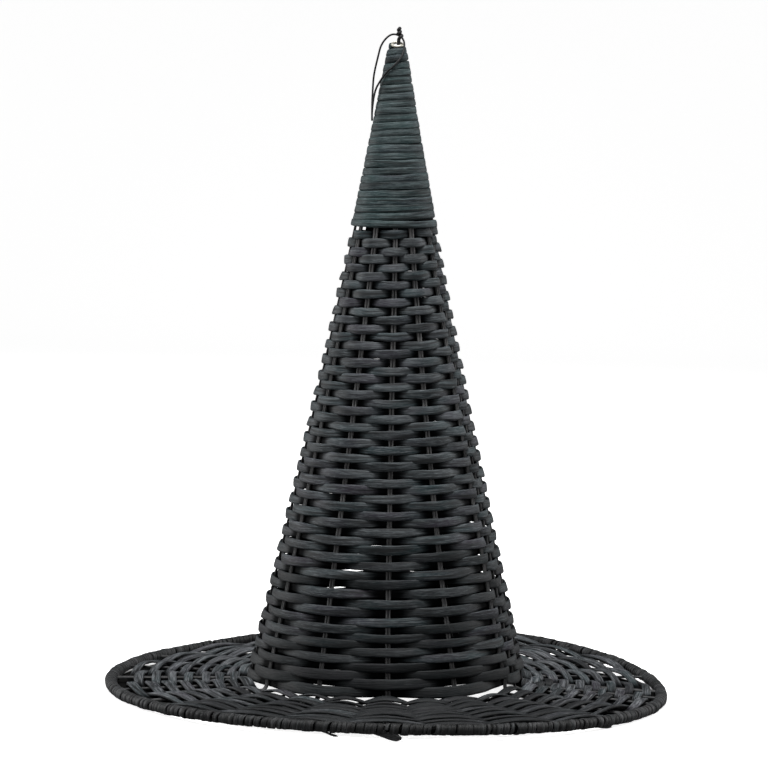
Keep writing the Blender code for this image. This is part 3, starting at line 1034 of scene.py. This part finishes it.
@dataclass(frozen=True)
class BrimWeave(Weave):
    """The same cane woven outwards on the brim's spokes.

    Attributes:
        row_radii: Radius of each row where it passes the front, from the crown outwards, in
            millimetres; the last is only reached half way.
        first_rows_rise: How much higher the first rows lie.
    """

    part: str = "brim"
    first_place: float = -2.0
    lengths: int = 2
    width: float = 6.4 * MM
    thickness: float = 2.4 * MM
    narrowing: float = 0.08
    first_rows: tuple[float, float, float] = (0.2, 20.0, 40.0)
    tuck_depth: float = 1.2 * MM
    radius_waves: Waves = ((0.6 * MM, 1.0, 41), (0.4 * MM, 9.0, 42))
    z_waves: Waves = ((0.3 * MM, 1.0, 43),)
    tilt_waves: Waves = ((16.0, 0.9, 44),)
    width_waves: Waves = ((0.09, 0.7, 45), (0.03, 0.21, 50))
    thickness_waves: Waves = ((0.08, 2.0, 46),)
    tone_waves: Waves = ((0.9, 1.3, 47), (0.6, 9.0, 48))
    row_radii: tuple[float, ...] = (
        99.8, 104.6, 109.2, 114.2, 119.8, 125.1, 130.9, 136.4,
        142.9, 148.1, 153.6, 159.3, 165.6, 171.2, 177.8, 184.0, 190.0,
    )
    first_rows_rise: float = 1.5 * MM

    def last_place(self) -> float:
        """Place where the last row ends, beside the hoop."""
        return len(self.stakes.brim_angles()) * (len(self.row_radii) - 1.5)

    def run(self, order: Array) -> Strand:
        """The strand through places in the weaving order.

        The radius grows from row to row, and the height swings as cos(pi q) about the
        spokes, so that the cane is above every even q.

        Args:
            order: Places counted in spokes.

        Returns:
            The strand.
        """
        angles = self.stakes.brim_angles()
        angle = angle_between(order, angles, lambda number: 0.0)
        radius = MM * np.interp(order / len(angles), np.arange(len(self.row_radii)), self.row_radii)
        radius = radius + ripple(order, self.radius_waves)
        swing = np.cos(np.pi * order)
        reach = (self.stakes.radius + 0.5 * self.thickness) * (1.15 + 0.25 * wander(order, 1.0, 49))
        z = self.form.brim_z(radius, angle) + reach * swing - self.tuck(order)
        z = z + ripple(order, self.z_waves)
        z = z + self.first_rows_rise * (1.0 - smoothstep((order - 20.0) / 30.0))
        tilt = np.radians(ripple(order, self.tilt_waves))
        width, thickness = self.sizes(order, swing)
        # Painted shade: the brim is coloured darker towards the front and towards the right.
        front = 0.5 + 0.5 * np.cos(angle)
        right = 0.5 + 0.5 * np.sin(angle)
        tone = ripple(order, self.tone_waves) - 2.6 * front**3 - 0.9 * right**2
        outward = polar(np.sin(tilt), angle, np.cos(tilt))
        across = polar(np.cos(tilt), angle, -np.sin(tilt))
        # Painted shade: crest falls where the cane dives under a spoke.
        crest = smoothstep((swing + 0.85) / 1.35)
        strand = Strand(polar(radius, angle, z), across, outward, width, thickness, tone, crest)
        return strand.squared_up()


@dataclass(frozen=True)
class WrappedHoop:
    """The hoop round the brim's edge, wrapped in narrow cane.

    Attributes:
        form: The hat's surfaces.
        turns: Turns of the wrapping.
        strip_width: Width of the wrapping cane.
        strip_thickness: Its thickness.
        place_waves: Small moves of the turns along the hoop, counted in turns.
        tone_waves: Small changes of the tone.
        stations: Points of the path in one turn.
        sides: Points of the section.
    """

    form: HatForm
    turns: int = 392
    strip_width: float = 3.6 * MM
    strip_thickness: float = 1.7 * MM
    place_waves: Waves = ((0.45, 0.5, 61), (0.8, 7.0, 62))
    tone_waves: Waves = ((0.7, 1.0, 66), (0.3, 12.0, 67))
    stations: int = 16
    sides: int = 8

    def run(self) -> Strand:
        """The wrapping: a helix round the hoop's middle line.

        With a the direction and t the turn round the hoop, the point stands off the middle
        line by R (cos t) outwards and R (sin t) upwards, and a moves on as t grows.
        """
        turn = np.linspace(0.0, self.turns, self.turns * self.stations + 1)
        angle = 2.0 * np.pi / self.turns * (turn + ripple(turn, self.place_waves))
        inside = 0.5 * self.strip_thickness
        lumps = np.clip(wander(turn, 3.0, 63), 0.0, 1.0) + 0.5 * wander(turn, 1.0, 64)
        half = self.form.hoop_half - inside + 0.55 * MM * lumps
        round_way = 2.0 * np.pi * turn
        radius = self.form.brim_radius - self.form.hoop_half + half * np.cos(round_way)
        floor = inside - self.form.hoop_z(angle)
        z = self.form.hoop_z(angle) + np.maximum(0.93 * half * np.sin(round_way), floor)
        outward = polar(np.cos(round_way), angle, np.sin(round_way))
        width = self.strip_width * (1.0 + 0.3 * wander(turn, 1.0, 65))
        # Painted shade: the wrapping is coloured darker at the front and darker still at the back.
        front = 0.5 + 0.5 * np.cos(angle)
        tone = ripple(turn, self.tone_waves) - 1.8 * front**2 - 2.4 * (1.0 - front) ** 2
        centre = polar(radius, angle, z)
        return Strand(centre, sideways(angle), outward, width, self.strip_thickness, tone).squared_up()

    def core(self) -> Strand:
        """The bundle inside the wrapping, a plain hoop that fills it, painted in full shade."""
        angle = np.linspace(0.0, 2.0 * np.pi, 181)
        half = self.form.hoop_half - 0.9 * self.strip_thickness
        centre = polar(self.form.brim_radius - self.form.hoop_half, angle, self.form.hoop_z(angle))
        across = polar(1.0, angle, 0.0)
        # Painted shade: the core gets crest 0, so it is coloured almost black.
        return Strand(centre, across, UP, 2.0 * half, 1.8 * half, crest=0.0).squared_up()

    def build(self, material: Material) -> None:
        """Makes the hoop's core and its wrapping."""
        wrapping = sweep(self.run(), Section.FLAT_OVAL, self.sides)
        shape = joined([wrapping, sweep(self.core(), Section.ROUND, 12)])
        add_piece("hoop_wrapping", shape, material, ["rim"])


@dataclass(frozen=True)
class WoundTip:
    """The cane wound edge to edge over the stakes' upper ends.

    Attributes:
        form: The hat's surfaces.
        turns: Turns from the hem to the top.
        strip_width: Width of the cane along the cone.
        thickness: Thickness of the cane.
        slope: Fall of the cone's radius with its height.
        cup: How far the winding stands out at its top, from which height, and over what height
            it gets there.
        z_waves: Small waves of the winding's height.
        radius_waves: Small waves of its radius.
        tilt_waves: Small turns of its section, in degrees.
        width_waves: Small changes of its width.
        tone_waves: Small changes of its tone.
        hem_radius: Outer radius of the thicker last turn.
        hem_height: Height of the hem.
        hem_thickness: Thickness of its cane.
        stations: Points of the path in one turn.
        sides: Points of the section.
    """

    form: HatForm
    turns: float = 23.3
    strip_width: float = 5.6 * MM
    thickness: float = 2.7 * MM
    slope: float = 0.19
    cup: tuple[float, float, float] = (0.9 * MM, 448.0 * MM, 9.0 * MM)
    z_waves: Waves = ((0.45 * MM, 0.45, 81), (0.3 * MM, 0.08, 82))
    radius_waves: Waves = ((0.22 * MM, 0.3, 83),)
    tilt_waves: Waves = ((5.0, 0.4, 84),)
    width_waves: Waves = ((0.05, 0.35, 85), (0.05, 0.07, 88))
    tone_waves: Waves = ((0.6, 0.2, 86), (0.6, 1.7, 87))
    hem_radius: float = 30.3 * MM
    hem_height: float = 5.0 * MM
    hem_thickness: float = 2.9 * MM
    stations: int = 72
    sides: int = 14

    def run(self) -> Strand:
        """The winding: a helix up the cone from its back, whose height wavers a little.

        It stands out a little more at the top, where it makes a cup for the ring.
        """
        turn = np.linspace(0.0, self.turns, int(self.turns * self.stations) + 1)
        hem_top = self.form.hem_z + self.hem_height
        pitch = (self.form.tip_top_z - 0.2 * MM - hem_top) / (self.turns + 0.1)
        z = hem_top + pitch * (turn + 0.1) + ripple(turn, self.z_waves)
        angle = 2.0 * np.pi * (turn + 0.5)
        out, start, reach = self.cup
        bulge = ripple(turn, self.radius_waves) + out * smoothstep((z - start) / reach)
        radius = self.form.tip_radius(z) - 0.5 * self.thickness + 0.2 * MM + bulge
        tilt = math.atan(self.slope) + np.radians(ripple(turn, self.tilt_waves))
        width = self.strip_width * (1.0 + ripple(turn, self.width_waves))
        width = width * np.clip(radius / (7.0 * MM), 0.6, 1.0)
        # Darker over the lowest ten turns, next to the hem.
        tone = ripple(turn, self.tone_waves) - 0.8 * (1.0 - smoothstep(turn / 10.0))
        outward, across = tilted(angle, tilt)
        strand = Strand(polar(radius, angle, z), across, outward, width, self.thickness, tone)
        return strand.squared_up()

    def hem(self) -> Strand:
        """The hem: one thicker turn with its ends side by side at the back."""
        turn = np.linspace(0.5, 1.52, 110)
        angle = 2.0 * np.pi * turn
        z = self.form.hem_z + 0.5 * self.hem_height + 0.2 * MM * wander(turn, 0.06, 91)
        inside = 0.5 * self.hem_thickness
        radius = self.hem_radius - inside + 0.15 * MM * wander(turn, 0.05, 92)
        outward, across = tilted(angle, math.atan(self.slope))
        width = self.hem_height * (1.0 + 0.05 * wander(turn, 0.07, 93))
        tone = 0.6 * wander(turn, 0.08, 94)
        strand = Strand(polar(radius, angle, z), across, outward, width, 2.0 * inside, tone)
        return strand.squared_up()

    def core(self) -> StrandMesh:
        """The shell under the winding, closed at the top and painted in full shade: 1.5 to 2.4 mm inside
        its outline.
        """
        z_outer = np.linspace(self.form.hem_z + 1.5 * MM, self.form.tip_top_z - 3.0 * MM, 30)
        r_outer = self.form.tip_radius(z_outer) - 1.5 * MM
        z_inner = z_outer[:-4]
        r_inner = self.form.tip_radius(z_inner) - 2.4 * MM
        axis = 0.02 * MM
        radius = np.concatenate([r_inner, [axis, axis], r_outer[::-1]])
        z = np.concatenate([z_inner, [z_inner[-1] + 1.0 * MM, z_outer[-1] + 0.3 * MM], z_outer[::-1]])
        sides = 40
        angle = 2.0 * np.pi * np.arange(sides) / sides
        vertices = polar(radius[:, None], angle[None, :], z[:, None]).reshape(-1, 3)
        quads = grid_quads(len(radius), sides, closed=True)[:, [0, 3, 2, 1]]
        # Painted shade: the shell's crest is 0, so it is coloured almost black.
        dark = np.zeros(len(vertices))
        return StrandMesh(vertices, quads, np.zeros((len(quads), 4, 2)), [], dark, dark)

    def build(self, material: Material) -> None:
        """Makes the winding, its hem and the shell under it."""
        parts = [sweep(strand, Section.FLAT_OVAL, self.sides) for strand in (self.run(), self.hem())]
        add_piece("tip_winding", joined(parts).seated(self.form), material, ["tip_wrap"])
        add_piece("tip_core", self.core().seated(self.form), material, [])


def smooth_line(points: Array, step: float) -> Array:
    """Evenly spaced points on a Catmull-Rom curve through the given ones.

    Args:
        points: The route's own points.
        step: Distance between two new points.

    Returns:
        The new points, with both ends kept.
    """
    padded = np.vstack([2.0 * points[0] - points[1], points, 2.0 * points[-1] - points[-2]])
    t = np.linspace(0.0, 1.0, 24, endpoint=False)[None, :, None]
    p0, p1, p2, p3 = (padded[i : len(padded) - 3 + i][:, None, :] for i in range(4))
    dense = 0.5 * (
        2.0 * p1
        + (p2 - p0) * t
        + (2.0 * p0 - 5.0 * p1 + 4.0 * p2 - p3) * t**2
        + (3.0 * p1 - p0 - 3.0 * p2 + p3) * t**3
    )
    dense = np.vstack([dense.reshape(-1, 3), points[-1]])
    far = travelled(dense)
    places = np.linspace(0.0, far[-1], int(far[-1] / step) + 1)
    return np.stack([np.interp(places, far, dense[:, axis]) for axis in range(3)], axis=1)


def carried_frame(line: Array) -> tuple[Array, Array]:
    """Two directions square to a line, carried along it with as little turning as possible.

    Args:
        line: The line's points.

    Returns:
        The two unit directions at each point.
    """
    tangent = unit(np.gradient(line, axis=0))
    start = np.cross(tangent[0], [0.0, 1.0, 0.3])
    first = np.zeros_like(line)
    current = start / np.linalg.norm(start)
    for index, direction in enumerate(tangent):
        current = current - np.dot(current, direction) * direction
        current = current / np.linalg.norm(current)
        first[index] = current
    return first, np.cross(tangent, first)


def tube(line: Array, radius: float, sides: int, tone: float = 0.0) -> StrandMesh:
    """A round tube of one radius and one tone along a line."""
    first, second = carried_frame(line)
    return sweep(Strand(line, first, second, 2.0 * radius, 2.0 * radius, tone), Section.ROUND, sides)


@dataclass(frozen=True)
class LooseEnds:
    """Cut ends under the hoop and frayed fibres on the crown, as points in millimetres.

    Attributes:
        cut_ends: Points of each cut end.
        widths: Width of each of them, in millimetres.
        hairs: Points of each fibre.
    """

    cut_ends: tuple[tuple[Point, ...], ...] = (
        ((-9.0, -195.5, 6.2), (-1.0, -197.6, 4.9), (5.0, -198.4, 3.6), (10.6, -198.6, 2.9)),
        ((-44.0, -190.5, 5.2), (-39.0, -192.6, 4.3), (-35.0, -194.0, 3.0), (-31.5, -195.4, 2.6)),
        ((139.0, -138.0, 3.4), (144.0, -134.0, 2.6), (149.0, -130.0, 1.8), (153.0, -127.0, 1.4)),
    )
    widths: tuple[float, ...] = (5.0, 1.7, 2.2)
    hairs: tuple[tuple[Point, ...], ...] = (
        ((40.0, -76.6, 66.5), (42.4, -78.6, 62.0), (46.0, -79.6, 58.0), (49.0, -78.0, 54.5)),
        ((41.0, -76.2, 64.0), (41.6, -78.8, 60.0), (43.6, -80.4, 56.5), (44.8, -80.6, 52.5)),
    )

    def cut_end(self, points: tuple[Point, ...], width: float) -> StrandMesh:
        """A flat end of cane that is full wide in its middle and tapers to both ends."""
        line = smooth_line(np.array(points) * MM, 0.8 * MM)
        share = np.linspace(0.0, 1.0, len(line))
        size = width * MM * np.interp(share, [0.0, 0.6, 0.85, 1.0], [0.5, 1.0, 1.0, 0.35])
        strand = Strand(line, (0.15, 0.0, 1.0), (0.0, -1.0, 0.0), size, 1.1 * MM, -0.8)
        return sweep(strand.squared_up(), Section.FLAT_OVAL, 10)

    def build(self, material: Material) -> None:
        """Makes the cut ends and the fibres."""
        parts = [self.cut_end(points, width) for points, width in zip(self.cut_ends, self.widths)]
        add_piece("cut_ends", joined(parts), material, [])
        lines = [smooth_line(np.array(points) * MM, 0.6 * MM) for points in self.hairs]
        fibres = joined([tube(line, 0.175 * MM, 6, tone=1.0) for line in lines])
        add_piece("frayed_fibres", fibres, material, [])


@dataclass(frozen=True)
class HangingString:
    """The string loop, its knot and the ring that it is tied through.

    Attributes:
        form: The hat's surfaces.
        radius: Radius of the string.
        knot_radius: Radius of the strand that the knot is laid in.
        ring_radius: Radius of the ring's middle line.
        ring_half: Half the ring's thickness.
        ring_rise: Height of the ring's middle above the winding's end, in millimetres.
        ring_tilt: How much lower its front lies than its middle, in millimetres.
        route: Points of the loop's middle line from the knot round to it, in millimetres.
        knot_route: Points of the knot's middle line from the ring up, in millimetres.
    """

    form: HatForm
    radius: float = 0.7 * MM
    knot_radius: float = 1.25 * MM
    ring_radius: float = 3.8 * MM
    ring_half: float = 0.9 * MM
    ring_rise: float = 0.3
    ring_tilt: float = 1.4
    route: tuple[Point, ...] = (
        (0.4, 0.0, 468.1), (-2.0, 0.0, 468.5), (-4.4, 0.0, 468.1), (-7.0, 0.0, 466.3),
        (-9.5, 0.0, 463.4), (-11.5, 0.1, 459.6), (-12.6, 0.3, 455.6), (-14.4, 0.8, 447.7),
        (-15.5, 1.2, 442.4), (-16.2, 1.6, 437.2), (-16.6, 2.1, 430.0), (-16.9, 2.6, 421.0),
        (-16.9, 2.9, 413.5), (-16.8, 2.2, 409.5), (-16.8, 0.0, 408.2), (-16.8, -2.2, 409.5),
        (-16.8, -3.0, 413.5), (-16.4, -3.1, 419.0), (-15.6, -3.4, 425.0), (-14.2, -4.1, 430.4),
        (-11.9, -5.2, 434.8), (-9.1, -7.0, 439.1), (-5.9, -9.0, 443.0), (-3.4, -9.9, 445.1),
        (-0.6, -10.0, 447.9), (2.6, -8.5, 452.0), (4.4, -6.2, 456.3), (5.1, -4.2, 459.7),
        (4.9, -3.0, 463.0), (3.8, -1.9, 465.5), (2.3, -0.9, 467.4),
    )
    knot_route: tuple[Point, ...] = (
        (1.0, 0.2, 461.0), (1.1, 0.2, 463.2), (1.2, -0.2, 465.2), (2.2, -1.0, 466.6),
        (3.2, -0.3, 467.4), (2.6, 0.9, 468.0), (0.9, 0.9, 468.3), (0.5, -0.3, 468.8),
        (1.3, -1.1, 469.6), (2.1, -0.2, 470.3), (1.5, 0.8, 470.9), (0.8, 0.0, 471.5),
        (1.3, -0.8, 472.2), (1.9, 0.0, 472.9),
    )

    def build(self) -> None:
        string = plain_material("waxed_string", (0.007, 0.007, 0.008), 0.75)
        metal = plain_material("pale_ring_metal", (0.60, 0.58, 0.51), 0.45, 0.5)
        angle = np.linspace(0.0, 2.0 * np.pi, 73)
        z = self.form.tip_top_z + MM * (self.ring_rise - self.ring_tilt * np.cos(angle))
        ring = tube(polar(self.ring_radius, angle, z), self.ring_half, 16).seated(self.form)
        add_piece("ring", ring, metal, ["tip_ring"])
        knot_line = smooth_line(np.array(self.knot_route) * MM, 0.25 * MM)
        knot = tube(knot_line, self.knot_radius, 12).seated(self.form)
        knot_piece = add_piece("string_knot", knot, string, ["loop_knot"])
        path = self.form.seated(smooth_line(np.array(self.route) * MM, 0.8 * MM))
        shape = tube(path, self.radius, 12)
        loop = add_piece("string_loop", shape, string, ["hanging_loop"])


@dataclass(frozen=True)
class Studio:
    """The floor, the lights and the camera.

    Attributes:
        camera_place: The camera's place.
        lens: Its focal length in millimetres.
        pitch_deg: How far it looks down.
        roll_deg: Its turn about its own line of sight.
        floor_bounce: Share of the light that the floor throws back on the hat.
        floor_glow: Its own light, for the camera alone.
        shade_inside: Radii between which the painted shadow under the brim begins.
        shade_outside: Radii between which it ends.
        shade_stretch: How much narrower the painted shadow is from front to back.
        surround_light: Strength of the surroundings, but not for the camera.
        aim: Point that the lights face.
        lights: Name, place, size and power of each light.
    """

    camera_place: Point = (-0.0076, -2.5, 0.4377)
    lens: float = 165.94
    pitch_deg: float = 4.99
    roll_deg: float = 1.60
    floor_bounce: float = 0.25
    floor_glow: float = 0.85
    shade_inside: tuple[float, float] = (0.094, 0.102)
    shade_outside: tuple[float, float] = (0.195, 0.2005)
    shade_stretch: float = 1.16
    surround_light: float = 0.07
    aim: Point = (0.0, 0.0, 0.2)
    lights: tuple[tuple[str, Point, float, float], ...] = (
        ("top_light", (0.0, -0.25, 1.7), 0.9, 37.0),
        ("front_light", (-0.3, -2.2, 1.3), 1.2, 13.0),
        ("left_light", (-1.81, 0.85, 0.45), 1.0, 22.0),
        ("right_light", (1.81, 0.85, 0.75), 1.0, 18.0),
    )

    def floor_material(self) -> Material:
        """Matt white that looks bleached to the camera and throws back less light.

        Returns:
            A diffuse material that glows for camera rays alone, but not in the ring under the brim,
            where a painted shadow turns it near black.
        """
        material, web = new_material("pale_floor")
        web.tree.nodes.clear()
        place = web.add("TexCoord").outputs["Object"]
        stretch = {0: place, 1: (1.0, self.shade_stretch, 1.0)}
        stretched = web.add("VectorMath", stretch, operation="MULTIPLY").outputs["Vector"]
        away = web.add("VectorMath", {0: stretched}, operation="LENGTH").outputs["Value"]
        begun = web.spread(away, *self.shade_inside, 0.0, 1.0)
        not_ended = web.spread(away, *self.shade_outside, 1.0, 0.0)
        shade = web.add("Math", {0: begun, 1: not_ended}, operation="MULTIPLY").outputs["Value"]
        # Painted shadow: in the ring under the brim the floor is coloured near black and does not glow.
        paper = web.add("BsdfDiffuse", {"Color": web.mixed(shade, grey(0.8), grey(0.006))})
        bleached = web.mixed(shade, grey(1.0), grey(0.0))
        glow = web.add("Emission", {"Color": bleached, "Strength": self.floor_glow})
        seen = web.add("AddShader", {0: paper.outputs[0], 1: glow.outputs[0]})
        bounce = web.add("BsdfDiffuse", {"Color": (*grey(self.floor_bounce), 1.0)})
        camera_ray = web.add("LightPath").outputs["Is Camera Ray"]
        choice = web.add("MixShader", {"Fac": camera_ray, 1: bounce.outputs[0], 2: seen.outputs[0]})
        web.add("OutputMaterial", {"Surface": choice.outputs[0]})
        return material

    def floor(self) -> None:
        """A pale floor that rises behind in a quarter round and goes on as a wall."""
        half = 6.0
        flat = 3.0
        bend = 1.5
        turn = np.linspace(0.0, 0.5 * np.pi, 24)
        y = np.concatenate([[-half, 0.0], flat + bend * np.sin(turn), [flat + bend]])
        z = np.concatenate([[0.0, 0.0], bend * (1.0 - np.cos(turn)), [half]])
        vertices = np.stack(np.broadcast_arrays([-half, half], y[:, None], z[:, None]), axis=-1)
        rows = np.arange(len(y) - 1)
        faces = np.stack([2 * rows, 2 * rows + 1, 2 * rows + 3, 2 * rows + 2], axis=1)
        mesh = bpy.data.meshes.new("floor")
        mesh.from_pydata(vertices.reshape(-1, 3).tolist(), [], faces.tolist())
        mesh.shade_smooth()
        mesh.materials.append(self.floor_material())
        obj = bpy.data.objects.new("floor", mesh)
        bpy.context.scene.collection.objects.link(obj)

    def light(self, name: str, place: Point, size: float, power: float) -> None:
        """A square soft light that faces the hat."""
        data = bpy.data.lights.new(name, "AREA")
        data.shape = "SQUARE"
        data.size = size
        data.energy = power
        obj = bpy.data.objects.new(name, data)
        obj.visible_camera = False
        bpy.context.scene.collection.objects.link(obj)
        direction = unit(np.array(self.aim) - np.array(place))
        side = unit(np.cross(direction, [0.0, 0.01, 1.0]))
        up = np.cross(side, direction)
        rows = [[side[i], up[i], -direction[i], place[i]] for i in range(3)]
        obj.matrix_world = Matrix(rows + [[0.0, 0.0, 0.0, 1.0]])

    def camera(self) -> None:
        """The camera at the photograph's place, pitch and roll."""
        data = bpy.data.cameras.new("camera")
        data.lens = self.lens
        data.sensor_width = 36.0
        data.clip_end = 30.0
        obj = bpy.data.objects.new("camera", data)
        bpy.context.scene.collection.objects.link(obj)
        turn = Matrix.Rotation(math.radians(90.0 - self.pitch_deg), 4, "X")
        roll = Matrix.Rotation(math.radians(self.roll_deg), 4, "Z")
        obj.matrix_world = Matrix.Translation(self.camera_place) @ turn @ roll
        bpy.context.scene.camera = obj

    def build(self) -> None:
        """Makes the camera, the floor, the lights and the pale surroundings."""
        self.camera()
        self.floor()
        for name, place, size, power in self.lights:
            self.light(name, place, size, power)
        world = bpy.data.worlds.new("surroundings")
        world.use_nodes = True
        web = NodeWeb(world.node_tree)
        camera_ray = web.add("LightPath").outputs["Is Camera Ray"]
        background = web.tree.nodes["Background"]
        web.feed(background.inputs["Color"], (*grey(1.0), 1.0))
        web.feed(background.inputs["Strength"], web.spread(camera_ray, 0.0, 1.0, self.surround_light, 1.0))
        bpy.context.scene.view_settings.view_transform = "Standard"
        bpy.context.scene.world = world


def main() -> None:
    """Builds the studio, then the hat's pieces one by one."""
    logging.basicConfig(level=logging.INFO, format="%(message)s")
    Studio().build()
    form = form_from_frame()
    HangingString(form).build()
    stakes = Stakes(form)
    stakes.build(STAKE_FINISH.material())
    CrownWeave(form, stakes).build(CROWN_FINISH.material())
    BrimWeave(form, stakes).build(BRIM_FINISH.material())
    hoop_cane = RIM_FINISH.material()
    WrappedHoop(form).build(hoop_cane)
    LooseEnds().build(hoop_cane)
    WoundTip(form).build(TIP_FINISH.material())


if __name__ == "__main__":
    main()
